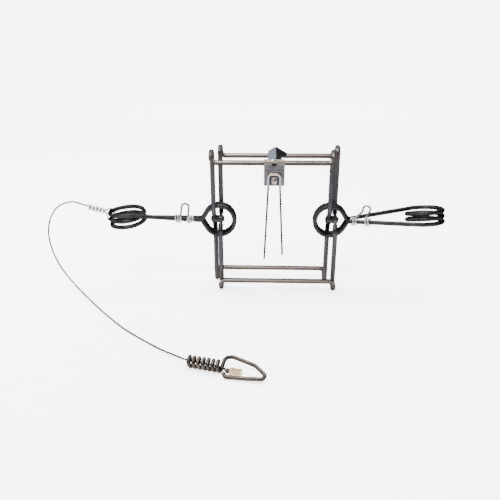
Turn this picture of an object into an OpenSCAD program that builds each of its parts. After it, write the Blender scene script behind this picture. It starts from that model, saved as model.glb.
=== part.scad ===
// Double-spring body grip trap, set, standing on the humps of its jaws, with its cable and anchor fitting
// X runs along the pivots, -Y is the front, Z is up and 0 is the ground

/* [Jaws] */
// Diameter of the jaw rod
rod_d = 7.9; // [6:0.1:8.4]
// Width of a jaw between the centres of its side bars
jaw_w = 185; // [160:1:220]
// Height of a jaw between the centres of its strike bars
jaw_h = 196; // [180:1:230]
// Distance along the pivots between the centres of the two jaws
jaw_gap = 10.4; // [9:0.1:12]
// Bend radius of the humps and corners, at the centre of the rod
hump_r = 7.5; // [6:0.1:9]
// Clearance of the eye rings between the side bars
eye_play = 0.35; // [0.3:0.05:0.8]
// Height above the pivot at which a side bar is clear of its knee
knee_h = 17; // [16:0.5:20]
// Bend radius of the knees
knee_r = 12; // [8:1:16]
// Thickness of the flat hammered on the rod at the pivot
flat_t = 5.2; // [4.5:0.1:5.6]
// Diameter of the pivot boss on the flat
boss_d = 13.5; // [12:0.1:15]
// Radius of the flattened stretch of rod
flat_r = 9.5; // [8:0.1:11]

/* [Pivots] */
// Diameter of the rivet shank
rivet_d = 5.4; // [4.5:0.1:6]
// Radial play of the jaws on the rivet
pivot_play = 0.06; // [0.02:0.01:0.1]
// Diameter of the rivet heads
head_d = 11; // [9:0.1:12.5]
// Thickness of the rivet heads
head_t = 3.2; // [2:0.1:4]
// Diameter of the spacer washers
washer_d = 12.5; // [11:0.1:14]
// Side gap between a washer or head and a jaw
side_gap = 0.3; // [0.2:0.05:0.4]

/* [Springs] */
// Diameter of the spring wire
wire_d = 7.1; // [5:0.1:7.5]
// Distance from the middle of the trap to each coil axis
coil_x = 240; // [215:1:260]
// Radius of the coils at the centre of the wire
coil_r = 27.2; // [24:0.1:30]
// Half turns of wire in each coil
coil_halves = 5; // [3:2:7]
// Rise of the left coil per turn
pitch_left = 9.8; // [9.4:0.1:11]
// Rise of the right coil per turn
pitch_right = 8.8; // [8:0.1:10]
// Lean of the left coil in degrees
lean_left = 4; // [0:1:8]
// Lean of the right coil in degrees
lean_right = 12; // [0:1:14]
// Upward tip of the left coil's outer end in degrees
tip_left = -4; // [-8:1:8]
// Upward tip of the right coil's outer end in degrees
tip_right = 4; // [-8:1:8]
// Height of the left coil above the pivots
rise_left = 2; // [0:0.5:5]
// Height of the right coil above the pivots
rise_right = 8; // [0:0.5:10]
// Radius of the eye rings at the centre of the wire
eye_r = 24.4; // [23:0.1:26]
// Distance from a pivot's middle inwards to the centre of its eye rings
eye_in = 3; // [1:0.5:5]
// Drop of the front eyes below the pivots
eye_drop = 1.8; // [0:0.1:3]
// Gap between the front and the rear eye where they lie side by side
eye_gap = 0.5; // [0.3:0.05:0.6]
// Half angle of the pointed side of an eye
eye_point = 30; // [26:1:36]
// Bend radius where an arm turns into its eye
eye_bend = 8; // [6:0.5:10]

/* [Trigger] */
// Centre of the trigger on the front strike bar
trigger_x = -1.8; // [-20:0.1:20]
// Width of the trigger plate
plate_w = 31.6; // [30:0.1:34]
// Drop of the plate's lower edge below the bar centre
plate_drop = 34; // [32:0.5:38]
// Thickness of the trigger and dog sheet
sheet_t = 1.6; // [1.4:0.1:1.8]
// Radial play of a knuckle on its bar
knuckle_play = 0.06; // [0.02:0.01:0.1]
// Width of the notch between the trigger knuckles
notch_w = 7.6; // [6.5:0.1:9]
// Depth of the notch below the bar centre
notch_depth = 3.2; // [2:0.1:3.4]
// Diameter of the trigger wire
trigger_wire_d = 3.2; // [2:0.1:3.4]
// Spacing of the two wire legs at the plate
leg_space = 18; // [16:0.1:20]
// Rise of the wire's arch above the rivet
arch_rise = 10.4; // [8:0.1:12]
// Bend radius of the arch's corners
arch_corner = 5; // [4:0.1:7]
// Spacing of the two wire ends
leg_spread = 28.7; // [20:0.1:36]
// Drop of the longer wire end below the bar centre
leg_drop = 154; // [120:1:170]
// Difference in length between the two wire legs
leg_uneven = 7; // [0:0.5:12]
// Diameter of the trigger rivet head
trigger_head_d = 10; // [8:0.1:11]

/* [Dog] */
// Width of the tongue that hooks over the front bar
tongue_w = 4.4; // [4:0.1:5]
// Clearance between the tongue and the front bar
tongue_gap = 0.3; // [0.25:0.05:0.4]
// Angle of the tongue's lip in front of the top of the bar
lip_angle = 32; // [20:1:34]
// Height of the ridge above the rear bar's centre
ridge_h = 13.8; // [12:0.1:15]

/* [Safety hooks] */
// Diameter of the hook wire
hook_wire_d = 3.2; // [2:0.1:3.4]
// Spacing of the two legs of a hook at its loop
hook_w = 11.3; // [10:0.1:14]
// Spacing of the left hook's legs at the arm
hook_base_left = 11.9; // [11:0.1:16]
// Spacing of the right hook's legs at the arm
hook_base_right = 15; // [11:0.1:16]
// Slant of the right hook's loop along the arm
hook_slant = 8; // [0:0.5:9]
// Height of a hook's loop above the arm centre
hook_h = 27.5; // [22:0.5:30]
// Rise of a wrap per turn
hook_pitch = 3.9; // [3.7:0.1:4.4]
// Half turns of wire on each side of a hook
hook_halves = 4; // [2:1:6]
// Clearance of the wraps round the arm
hook_gap = 0.3; // [0.25:0.05:0.4]
// Distance from the middle of the trap to the left hook
hook_out_left = 54; // [44:0.5:66]
// Distance from the middle of the trap to the right hook
hook_out_right = 45; // [44:0.5:66]
// Backward lean of the right hook in degrees
hook_lean = 50; // [0:1:60]

/* [Cable] */
// Diameter of the cable
cable_d = 2.8; // [1.6:0.1:2.9]
// Length of the eye ferrule
ferrule_l = 26.5; // [20:0.5:32]
// Length of the stop on the cable's far end
stop_l = 15; // [12:0.5:18]
// Width of the stop
stop_w = 9; // [7.5:0.1:10]
// Height of the stop
stop_h = 6.2; // [5.5:0.1:6.6]
// Diameter of the collar in front of the stop
collar_d = 6.2; // [4.8:0.1:6.6]
// Length of the collar
collar_l = 4.4; // [3:0.1:4.8]

/* [Anchor fitting] */
// Diameter of the anchor wire
anchor_wire_d = 5.2; // [4:0.1:5.6]
// Radius of the anchor coil at the centre of the wire
anchor_r = 5.7; // [5.4:0.1:6.4]
// Rise of the anchor coil per turn
anchor_pitch = 6.4; // [6.2:0.1:6.8]
// Half turns in the anchor coil
anchor_halves = 14; // [8:2:16]
// Length of the loop beyond the coil
loop_l = 60; // [50:1:75]
// Tilt of the loop from the ground in degrees
loop_tilt = 26; // [20:1:26]

/* [Hidden] */
$fn = 48;

jaw_steel = [0.36, 0.35, 0.36];
spring_steel = [0.13, 0.14, 0.15];
plate_steel = [0.46, 0.42, 0.40];
dog_steel = [0.30, 0.33, 0.37];
galvanised = [0.80, 0.82, 0.84];
cable_steel = [0.52, 0.52, 0.53];
anchor_steel = [0.33, 0.30, 0.29];

// Derived places, measured from the middle of the pivot line
half_h = jaw_h / 2;
side_off = rod_d / 2 + wire_d + eye_gap / 2 + eye_play;
strike_y = side_off + 2 * hump_r;
hump_h = half_h + 2 * hump_r;
pivot_h = hump_h + rod_d / 2;
bore_d = rivet_d + 2 * pivot_play;
washer_t = jaw_gap - flat_t - 2 * side_gap;
shank_half = jaw_gap / 2 + flat_t / 2 + side_gap;
eye_x = jaw_w / 2 - eye_in;
eye_y = wire_d / 2 + eye_gap / 2;
eye_tip = eye_x + eye_r / cos(eye_point);
arm_lead = 10;
// Hair of room between a coil and its arms, so that their end faces never cross
meet = 0.006;
arm_bend = 30;
knuckle_in = rod_d / 2 + knuckle_play;
knuckle_out = knuckle_in + sheet_t;

// A wire or rod is swept along corner points, with a bend radius at each inner corner
function dir(a, b) = (b - a) / norm(b - a);
function turn(a, b, c) = acos(max(-1, min(1, dir(a, b) * dir(b, c))));
function setback(a, b, c, r) = r * tan(turn(a, b, c) / 2);
function square_to(v, u) = dir([0, 0, 0], v - (v * u) * u);

module frame(o, x, z) {
    y = cross(z, x);
    multmatrix([
        [x[0], y[0], z[0], o[0]],
        [x[1], y[1], z[1], o[1]],
        [x[2], y[2], z[2], o[2]],
        [0, 0, 0, 1]
    ]) children();
}

// A straight is a hair thinner than the bends beside it and laps a little way into them, so that they join
slip = 0.03;
lap = 0.3;

module straight(a, b, d, from_bend = true, to_bend = true) {
    z = dir(a, b);
    side = abs(z[2]) < 0.9 ? [0, 0, 1] : [1, 0, 0];
    before = from_bend ? lap : 0;
    frame(a - z * before, square_to(side, z), z)
        cylinder(d = d - 2 * slip, h = norm(b - a) + before + (to_bend ? lap : 0));
}

module bend(a, b, c, d, r) {
    u = dir(a, b);
    inward = square_to(dir(b, c), u);
    start = b - u * setback(a, b, c, r);
    frame(start + r * inward, -inward, cross(-inward, u))
        rotate_extrude(angle = turn(a, b, c)) translate([r, 0]) circle(d = d);
}

module rod(p, d, r, from_bend = false, to_bend = false) {
    last = len(p) - 1;
    back = [for (i = [0:last]) i == 0 || i == last ? 0 : setback(p[i - 1], p[i], p[i + 1], r[i])];
    for (i = [0:last - 1]) {
        along = dir(p[i], p[i + 1]);
        a = p[i] + along * back[i];
        b = p[i + 1] - along * back[i + 1];
        if (norm(b - a) > 0.01) straight(a, b, d, i > 0 || from_bend, i < last - 1 || to_bend);
    }
    for (i = [1:1:last - 1])
        if (back[i] > 0.01) bend(p[i - 1], p[i], p[i + 1], d, r[i]);
}

// A half turn of wire runs from a to b, which lie across the coil from each other, and leaves a along u
module half_turn(a, b, u, d, lapped = false) {
    x = dir((a + b) / 2, a);
    r = norm(b - a) / 2;
    more = lapped ? lap * 180 / (PI * r) : 0;
    frame((a + b) / 2, x, cross(x, u)) rotate([0, 0, -more])
        rotate_extrude(angle = 180 + 2 * more) translate([r, 0]) circle(d = lapped ? d - 2 * slip : d);
}

function half_turn_points(a, b, u, n = 12) = [
    for (i = [0:n - 1]) (a + b) / 2 + (a - b) / 2 * cos(180 * i / n) + u * norm(b - a) / 2 * sin(180 * i / n)
];

// The least gap of a wire to itself, between points that lie more than skip steps apart
function least_gap(p, d, skip) = min([
    for (i = [0:len(p) - 1 - skip], j = [i + skip:len(p) - 1]) norm(p[i] - p[j])
]) - d;

// Jaws
jaw_side = [
    [0, 0, 0],
    [0, -side_off, knee_h],
    [0, -side_off, hump_h - hump_r]
];
jaw_top = [
    [-jaw_w / 2, -strike_y, hump_h - hump_r],
    [-jaw_w / 2, -strike_y, half_h],
    [jaw_w / 2, -strike_y, half_h],
    [jaw_w / 2, -strike_y, hump_h - hump_r]
];

module half_jaw() {
    for (x = [-1, 1]) translate([x * jaw_w / 2, 0, 0]) {
        rod(jaw_side, rod_d, [0, knee_r, 0], false, true);
        half_turn([0, -side_off, hump_h - hump_r], [0, -strike_y, hump_h - hump_r], [0, 0, 1], rod_d);
    }
    rod(jaw_top, rod_d, [0, hump_r, hump_r, 0], true, true);
}

module jaw() {
    difference() {
        union() {
            for (half = [0, 180]) rotate([half, 0, 0]) half_jaw();
            for (x = [-1, 1]) translate([x * jaw_w / 2, 0, 0]) rotate([0, 90, 0])
                cylinder(d = boss_d, h = flat_t, center = true);
        }
        for (x = [-1, 1]) translate([x * jaw_w / 2, 0, 0]) rotate([0, 90, 0]) {
            for (face = [0, 180]) rotate([0, face, 0]) translate([0, 0, flat_t / 2])
                cylinder(r = flat_r, h = rod_d);
            cylinder(d = bore_d, h = 2 * rod_d, center = true);
        }
    }
}

module jaw_front() {
    color(jaw_steel) translate([-jaw_gap / 2, 0, pivot_h]) jaw();
}

module jaw_rear() {
    color(jaw_steel) translate([jaw_gap / 2, 0, pivot_h]) mirror([0, 1, 0]) jaw();
}

// Pivots
dome_r = head_d * 0.75;

module rivet_head() {
    intersection() {
        cylinder(d = head_d, h = head_t);
        translate([0, 0, head_t - dome_r]) sphere(r = dome_r);
    }
}

module pivot_rivet(side) {
    color(galvanised) translate([side * jaw_w / 2, 0, pivot_h]) rotate([0, 90, 0]) {
        cylinder(d = rivet_d, h = 2 * shank_half + 0.4, center = true);
        for (end = [0, 180]) rotate([0, end, 0]) translate([0, 0, shank_half]) rivet_head();
    }
}

module pivot_washer(side) {
    color(galvanised) translate([side * jaw_w / 2, 0, pivot_h]) rotate([0, 90, 0]) difference() {
        cylinder(d = washer_d, h = washer_t, center = true);
        cylinder(d = bore_d, h = washer_t + 2, center = true);
    }
}

module pivot_rivet_left() { pivot_rivet(-1); }
module pivot_rivet_right() { pivot_rivet(1); }
module pivot_washer_left() { pivot_washer(-1); }
module pivot_washer_right() { pivot_washer(1); }

// Springs: the right one is drawn, and the left one is the same part turned half round
function pitch(side) = side > 0 ? pitch_right : pitch_left;
function lean(side) = side > 0 ? lean_right : lean_left;
function rise(side) = side > 0 ? rise_right : rise_left;
function tip(side) = side > 0 ? tip_right : tip_left;
function coil_out(side) = [cos(tip(side)), 0, sin(tip(side))];
function coil_up(side) = [-sin(tip(side)), 0, cos(tip(side))];
function coil_end(side, k) = let (
    y = (k % 2 == 0 ? 1 : -1) * coil_r,
    z = (coil_halves / 2 - k) * pitch(side) / 2
) [coil_x, y * cos(lean(side)) + z * sin(lean(side)), rise(side)]
    + coil_up(side) * (z * cos(lean(side)) - y * sin(lean(side)));
function coil_heading(side, k) = (k % 2 == 0 ? 1 : -1) * coil_out(side);
function eye_centre(side, upper) = [eye_x, upper ? eye_y : -eye_y, (side < 0) == upper ? -eye_drop : 0];
function eye_point_at(side, upper, angle) = eye_centre(side, upper) + eye_r * [cos(angle), 0, sin(angle)];
function arm_root(side, upper) = coil_end(side, upper ? 0 : coil_halves);
function arm_tip(side, upper) = eye_centre(side, upper) + [eye_tip - eye_x, 0, 0];
function arm_corner(side, upper) = arm_root(side, upper) - arm_lead * coil_out(side);

module turned(side) {
    translate([0, 0, pivot_h]) rotate([0, 0, side > 0 ? 0 : 180]) children();
}

module spring_coil(side) {
    color(spring_steel) turned(side)
        for (k = [0:coil_halves - 1])
            half_turn(
                coil_end(side, k), coil_end(side, k + 1), coil_heading(side, k),
                wire_d, k % 2 == 1
            );
}

module spring_arm(side, upper) {
    color(spring_steel) turned(side) {
        rod(
            [
                arm_root(side, upper) - meet * coil_out(side),
                arm_corner(side, upper),
                arm_tip(side, upper),
                eye_point_at(side, upper, eye_point)
            ],
            wire_d,
            [0, arm_bend, eye_bend, 0],
            false,
            true
        );
        translate(eye_centre(side, upper)) rotate([-90, 0, 0]) rotate([0, 0, eye_point])
            rotate_extrude(angle = 360 - 2 * eye_point) translate([eye_r, 0]) circle(d = wire_d);
        straight(eye_point_at(side, upper, -eye_point), arm_tip(side, upper), wire_d, true, false);
    }
}

module spring_left_coil() { spring_coil(-1); }
module spring_left_front_arm() { spring_arm(-1, true); }
module spring_left_rear_arm() { spring_arm(-1, false); }
module spring_right_coil() { spring_coil(1); }
module spring_right_front_arm() { spring_arm(1, false); }
module spring_right_rear_arm() { spring_arm(1, true); }

function spring_points(side) = concat(
    [for (i = [0:9]) arm_tip(side, true) + (arm_corner(side, true) - arm_tip(side, true)) * i / 10],
    [for (k = [0:coil_halves - 1])
        each half_turn_points(coil_end(side, k), coil_end(side, k + 1), coil_heading(side, k))],
    [for (i = [10:-1:0]) arm_tip(side, false) + (arm_corner(side, false) - arm_tip(side, false)) * i / 10]
);

// Trigger, hung on the top bar of the front jaw
bar = [trigger_x, -strike_y, pivot_h + half_h];
plate_y = -(knuckle_in + knuckle_out) / 2;
wire_y = plate_y + sheet_t / 2 - trigger_wire_d / 2 - 0.1;
channel_r = trigger_wire_d / 2 + 0.1;
bead_r = channel_r + 0.8;
rivet_z = -26.6;
trigger_rivet_d = 4;
keeper_t = 1.2;
keeper_w = leg_space + 6;
notch_off = -0.4;
slot_l = 20;

module arch(r, foot) {
    top = rivet_z + arch_rise;
    side = leg_space / 2;
    rod(
        [[side, wire_y, foot], [side, wire_y, top], [-side, wire_y, top], [-side, wire_y, foot]],
        2 * r, [0, arch_corner, arch_corner, 0]
    );
}

module trigger_plate() {
    color(plate_steel) translate(bar) difference() {
        union() {
            rotate([0, 90, 0]) cylinder(r = knuckle_out, h = plate_w, center = true);
            translate([-plate_w / 2, plate_y - sheet_t / 2, -plate_drop])
                cube([plate_w, sheet_t, plate_drop]);
            difference() {
                arch(bead_r, -plate_drop);
                translate([-plate_w, plate_y, -2 * plate_drop]) cube([2 * plate_w, 20, 2 * plate_drop]);
            }
        }
        rotate([0, 90, 0]) cylinder(r = knuckle_in, h = plate_w + 2, center = true);
        translate([notch_off - notch_w / 2, -20, -notch_depth]) cube([notch_w, 40, 20]);
        arch(channel_r, -plate_drop - 1);
        arch_slot();
        translate([0, 0, rivet_z]) rotate([90, 0, 0])
            cylinder(d = trigger_rivet_d + 0.1, h = 40, center = true);
    }
}

// The channel is open towards the keeper behind it
module arch_slot() {
    reach = leg_space / 2 - arch_corner;
    top = rivet_z + arch_rise;
    translate([0, wire_y, 0]) {
        translate([-reach, 0, top - channel_r]) cube([2 * reach, slot_l, 2 * channel_r]);
        for (x = [-1, 1]) {
            translate([x * leg_space / 2 - channel_r, 0, -plate_drop - 1])
                cube([2 * channel_r, slot_l, plate_drop + 1 + top - arch_corner]);
            translate([x * reach, slot_l, top - arch_corner]) rotate([90, 0, 0]) rotate([0, 0, x > 0 ? 0 : 90])
                rotate_extrude(angle = 90) translate([arch_corner - channel_r, 0])
                    square([2 * channel_r, slot_l]);
        }
    }
}

module trigger_keeper() {
    top = -rivet_z - arch_rise - 2.4;
    color(plate_steel) translate(bar) difference() {
        translate([-keeper_w / 2, plate_y + sheet_t / 2, -plate_drop])
            cube([keeper_w, keeper_t, plate_drop - top]);
        translate([0, 0, rivet_z]) rotate([90, 0, 0])
            cylinder(d = trigger_rivet_d + 0.1, h = 40, center = true);
    }
}

module trigger_wire() {
    exit_z = -plate_drop - 3;
    top = rivet_z + arch_rise;
    side = leg_space / 2;
    color(galvanised) translate(bar) rod(
        [
            [-leg_spread / 2, wire_y, -leg_drop],
            [-side, wire_y, exit_z],
            [-side, wire_y, top],
            [side, wire_y, top],
            [side, wire_y, exit_z],
            [leg_spread / 2, wire_y, leg_uneven - leg_drop]
        ],
        trigger_wire_d,
        [0, 20, arch_corner, arch_corner, 20, 0]
    );
}

module trigger_rivet() {
    front = plate_y - sheet_t / 2;
    rear = plate_y + sheet_t / 2 + keeper_t;
    color(plate_steel) translate(bar + [0, 0, rivet_z]) rotate([90, 0, 0]) {
        translate([0, 0, -rear]) cylinder(d = trigger_rivet_d, h = rear - front);
        translate([0, 0, -front]) intersection() {
            cylinder(d = trigger_head_d, h = 2);
            translate([0, 0, 2 - trigger_head_d * 0.8]) sphere(r = trigger_head_d * 0.8);
        }
        translate([0, 0, -rear - 1.2]) cylinder(d = 1.6 * trigger_rivet_d, h = 1.2);
    }
}

// Dog, hinged on the top bar of the rear jaw, with its tongue over the front bar
dog_left = -11.8;
dog_right = 21.5;
knuckle_l = 8.6;
dog_back = strike_y + (knuckle_in + knuckle_out) / 2 + sheet_t / 2;
tongue_x = -0.6;
ridge_x = 0.5;
dog_slope = 0.57;
tongue_in = rod_d / 2 + tongue_gap;
tongue_out = tongue_in + sheet_t;
peak = [ridge_x, dog_back, half_h + ridge_h];
nose_y = -strike_y + 2;
nose_z = half_h + tongue_out + 0.3;
nose_left = -5;
nose_back = 5.5;
left_front_y = -2;
ridge_fall = (peak[2] - dog_slope * (ridge_x - tongue_x) - nose_z) / (dog_back - nose_y);
function cheek(x, y) = [x, y, peak[2] - dog_slope * abs(x - ridge_x) - ridge_fall * (dog_back - y)];
nose = cheek(tongue_x, nose_y);
left_rear = cheek(dog_left, dog_back);
right_rear = cheek(dog_right, dog_back);

module plate(p, t) {
    x = dir(p[0], p[1]);
    z = square_to(cross(x, p[2] - p[0]), x);
    y = cross(z, x);
    frame(p[0], x, z) linear_extrude(t) polygon([for (q = p) [(q - p[0]) * x, (q - p[0]) * y]]);
}

module dog_knuckle(from, to) {
    translate([from, strike_y, half_h]) rotate([0, 90, 0]) cylinder(r = knuckle_out, h = to - from);
}

module dog() {
    color(dog_steel) translate([0, 0, pivot_h]) difference() {
        union() {
            plate(
                [
                    peak,
                    nose,
                    cheek(nose_left, nose_y + nose_back),
                    cheek(dog_left, left_front_y),
                    left_rear
                ],
                sheet_t
            );
            mirror([1, 0, 0]) plate([for (q = [peak, nose, right_rear]) [-q[0], q[1], q[2]]], sheet_t);
            translate([0, dog_back, 0]) rotate([90, 0, 0]) linear_extrude(sheet_t) polygon([
                [dog_left, half_h],
                [left_rear[0], left_rear[2]],
                [peak[0], peak[2]],
                [right_rear[0], right_rear[2]],
                [dog_right, half_h]
            ]);
            dog_knuckle(dog_left, dog_left + knuckle_l);
            dog_knuckle(ridge_x + 1, ridge_x + 1 + knuckle_l);
            tongue();
        }
        translate([dog_left - 1, strike_y, half_h]) rotate([0, 90, 0])
            cylinder(r = knuckle_in, h = dog_right - dog_left + 2);
        translate([dog_left - 1, dog_back, half_h]) cube([dog_right - dog_left + 2, 10, 2 * ridge_h]);
    }
}

module tongue() {
    behind = 40;
    translate([tongue_x - tongue_w / 2, -strike_y, half_h]) rotate([0, 90, 0])
        rotate([0, 0, 180 - behind]) rotate_extrude(angle = lip_angle + behind)
            translate([tongue_in, 0]) square([sheet_t, tongue_w]);
}

// Safety hooks, wrapped round the front arms
function world(side, p) = [side * p[0], side * p[1], p[2]];
function front_tip(side) = world(side, arm_tip(side, side < 0));
function front_corner(side) = world(side, arm_corner(side, side < 0));
function hook_x(side) = jaw_w / 2 + (side > 0 ? hook_out_right : hook_out_left);
function hook_base(side) = side > 0 ? hook_base_right : hook_base_left;
function leg_bend(side) = side > 0 ? 6 : 60;
function hook_place(side) = let (
    a = front_tip(side),
    b = front_corner(side)
) a + (b - a) * (hook_x(side) - eye_tip) / (abs(b[0]) - eye_tip);
wrap_r = wire_d / 2 + hook_gap + hook_wire_d / 2;
leg_top = hook_h - hook_w / 2;
leg_lead = 4.5;
function wrap_end(side, k) = [hook_base(side) / 2 + k * hook_pitch / 2, (k % 2 == 0 ? -1 : 1) * wrap_r, 0];
function wrap_heading(k) = [0, 0, k % 2 == 0 ? -1 : 1];

module safety_hook(side, back, slant) {
    x = side * dir(front_tip(side), front_corner(side));
    right_top = [slant + hook_w / 2, -wrap_r, leg_top];
    left_top = [slant - hook_w / 2, -wrap_r, leg_top];
    color(galvanised) translate([0, 0, pivot_h]) frame(hook_place(side), x, square_to([0, 0, 1], x))
        rotate([-back, 0, 0]) {
            half_turn(right_top, left_top, [0, 0, 1], hook_wire_d);
            hook_leg(right_top, wrap_end(side, 0), leg_bend(side));
            hook_leg(left_top, wrap_end(side, 0) - [hook_base(side), 0, 0], leg_bend(side));
            for (half = [0, 1]) mirror([half, 0, 0])
                for (k = [0:hook_halves - 1])
                    half_turn(
                        wrap_end(side, k), wrap_end(side, k + 1), wrap_heading(k),
                        hook_wire_d, k % 2 == 1
                    );
        }
}

module hook_leg(top, foot, r) {
    rod(
        [top, top - [0, 0, leg_lead], foot + [0, 0, leg_lead], foot],
        hook_wire_d, [0, r, r, 0], true, true
    );
}

module safety_hook_left() { safety_hook(-1, 0, 0); }
module safety_hook_right() { safety_hook(1, hook_lean, hook_slant); }

// Anchor fitting: a coil of wire that turns on the cable, with a loop beyond it
anchor_start = [-111, -246.8, anchor_r + anchor_wire_d / 2];
anchor_axis = dir([0, 0, 0], [0.971, -0.239, 0]);
anchor_back = [-anchor_axis[1], anchor_axis[0], 0];
anchor_w = anchor_back * cos(loop_tilt) + [0, 0, sin(loop_tilt)];
anchor_l = anchor_halves * anchor_pitch / 2;
function anchor_end(k) = [k * anchor_pitch / 2, 0, (k % 2 == 0 ? -1 : 1) * anchor_r];
function anchor_heading(k) = [0, k % 2 == 0 ? 1 : -1, 0];
loop_high = 15.8;
loop_low = -13.8;
loop_path = [
    [anchor_l, 0, -anchor_r],
    [anchor_l + 1, loop_high, -4],
    [anchor_l + 12, loop_high, 0],
    [anchor_l + loop_l - 17, 8.6, 0],
    [anchor_l + loop_l - 1.2, -2.5, 0],
    [anchor_l + loop_l - 4.2, loop_low + 5.6, 0],
    [anchor_l + 36, loop_low + 2.9, 0],
    [anchor_l + 10, loop_low, 1],
    [anchor_l + 6, -9.5, 2.5]
];
loop_bends = [0, 6, 8, 20, 4, 4, 20, 4, 0];

module anchor_frame() {
    frame(anchor_start, anchor_axis, cross(anchor_axis, anchor_w)) children();
}

module anchor_loop() {
    color(anchor_steel) anchor_frame() {
        for (k = [0:anchor_halves - 1])
            half_turn(
                anchor_end(k), anchor_end(k + 1), anchor_heading(k),
                anchor_wire_d, (anchor_halves - k) % 2 == 0
            );
        rod(loop_path, anchor_wire_d, loop_bends, true);
    }
}

// Cable eye, threaded between the turns at the far end of the left coil
eye_left = -coil_x - coil_r;
strand_mid = pivot_h + rise_left + coil_r * sin(tip_left);
strand_high = strand_mid + pitch_left;
strand_gap_z = strand_mid - pitch_left / 2;
eye_reach = wire_d / 2 + cable_d / 2 + 0.4;
eye_top_z = strand_high + eye_reach - 0.1;
ferrule_in = [eye_left - 11.7, 0, pivot_h + 11.8];
ferrule_dir = dir([0, 0, 0], [-25.5, 0, 6.6]);
ferrule_side = [-ferrule_dir[2], 0, ferrule_dir[0]];
ferrule_out = ferrule_in + ferrule_l * ferrule_dir;
strand_space = cable_d / 2 + 0.1;
strand_play = 0.25;
eye_bend_r = 4.2;
eye_lead = 3.5;
eye_sunk = 1.5;

module cable_eye() {
    color(cable_steel) rod(
        [
            ferrule_in - strand_space * ferrule_side + eye_sunk * ferrule_dir,
            ferrule_in - strand_space * ferrule_side - eye_lead * ferrule_dir,
            [eye_left - 2.5, 0, eye_top_z],
            [eye_left + eye_reach, 0, eye_top_z],
            [eye_left + eye_reach, 0, strand_gap_z],
            [eye_left - eye_reach, 0, strand_gap_z],
            ferrule_in + strand_space * ferrule_side - eye_lead * ferrule_dir,
            ferrule_in + strand_space * ferrule_side + eye_sunk * ferrule_dir
        ],
        cable_d,
        [0, eye_bend_r, eye_bend_r, eye_bend_r, eye_bend_r, eye_bend_r, eye_bend_r, 0]
    );
}

ferrule_crimps = 4;
crimp_l = 2;
crimp_r = cable_d / 2 + 1.5;
band_r = cable_d / 2 + 2.3;
band_l = (ferrule_l - ferrule_crimps * crimp_l) / (ferrule_crimps + 1);

module barrel(r, h) {
    for (y = [-1, 1]) translate([0, y * strand_space, 0]) cylinder(r = r, h = h);
    translate([-r, -strand_space, 0]) cube([2 * r, 2 * strand_space, h]);
}

module cable_ferrule() {
    color(galvanised) frame(ferrule_in, [0, 1, 0], ferrule_dir) difference() {
        union() {
            barrel(crimp_r, ferrule_l);
            for (i = [0:ferrule_crimps]) translate([0, 0, i * (band_l + crimp_l)]) barrel(band_r, band_l);
        }
        translate([0, 0, -1]) barrel(cable_d / 2 + strand_play, 1 + eye_sunk + strand_play);
    }
}

module stop_frame() {
    frame(anchor_start - [0, 0, anchor_start[2] - stop_z], anchor_axis, [0, 0, 1]) children();
}

module cable_stop() {
    color(plate_steel) stop_frame() translate([stop_at, -stop_w / 2, -stop_h / 2]) difference() {
        cube([stop_l, stop_w, stop_h]);
        for (x = [stop_l / 3, 2 * stop_l / 3]) translate([x, -1, stop_h]) rotate([-90, 0, 0])
            cylinder(r = groove_r, h = stop_w + 2);
    }
}

module cable_collar() {
    color(anchor_steel) stop_frame() translate([stop_at - collar_l - collar_gap, 0, 0])
        rotate([0, 90, 0]) difference() {
            cylinder(d = collar_d, h = collar_l);
            translate([0, 0, -1]) cylinder(r = cable_d / 2 + strand_play, h = collar_l + 2);
        }
}

stop_z = 3.4;
stop_at = anchor_l + 12;
collar_gap = 0.6;
groove_r = 0.8;
// The cable lies on the top of the anchor coil's bore where it enters, and on its bottom where it leaves
bore_play = anchor_r - anchor_wire_d / 2 - cable_d / 2 - 0.1;
function on_axis(a, z) = [anchor_start[0], anchor_start[1], 0] + a * anchor_axis + [0, 0, z];

cable_exit = ferrule_out - strand_space * ferrule_side;
// Route of the cable, from the ferrule down to the ground, through the anchor coil and into the stop
route = concat(
    [cable_exit, cable_exit + 7 * ferrule_dir],
    [
        [-324, -1.5, 143.3], [-332, -3, 144], [-340, -4.5, 142.5], [-348, -6.5, 139], [-354.5, -8.5, 134],
        [-359.5, -11, 127], [-364, -14, 118], [-366.5, -17.5, 107], [-367, -21, 96], [-365.5, -24.5, 85],
        [-363.5, -26, 74], [-360.5, -26.5, 61.5], [-356.5, -26, 47.5], [-350, -26, 33.5], [-341, -28, 20.5],
        [-329, -34.5, 10], [-315, -46.5, 3.8], [-297, -66.5, 1.7], [-276.5, -91.5, 1.5], [-257, -114, 1.5],
        [-237, -136.5, 1.5], [-216.5, -158, 1.5], [-197.5, -175, 1.5], [-180, -189.5, 1.5],
        [-162, -204, 1.7], [-147.5, -216, 2.8], [-134.5, -226.5, 4.8], [-123.5, -237, 7.4],
        [-116.5, -243.6, 9.2]
    ],
    [
        on_axis(-1.5, anchor_start[2] + bore_play),
        on_axis(anchor_l / 2, anchor_start[2]),
        on_axis(anchor_l + 2, anchor_start[2] - bore_play),
        on_axis(anchor_l + 6, stop_z + 0.15),
        on_axis(stop_at - 1.5, stop_z),
        on_axis(stop_at, stop_z)
    ]
);
cable_sides = 8;
cable_step = 8;

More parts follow.
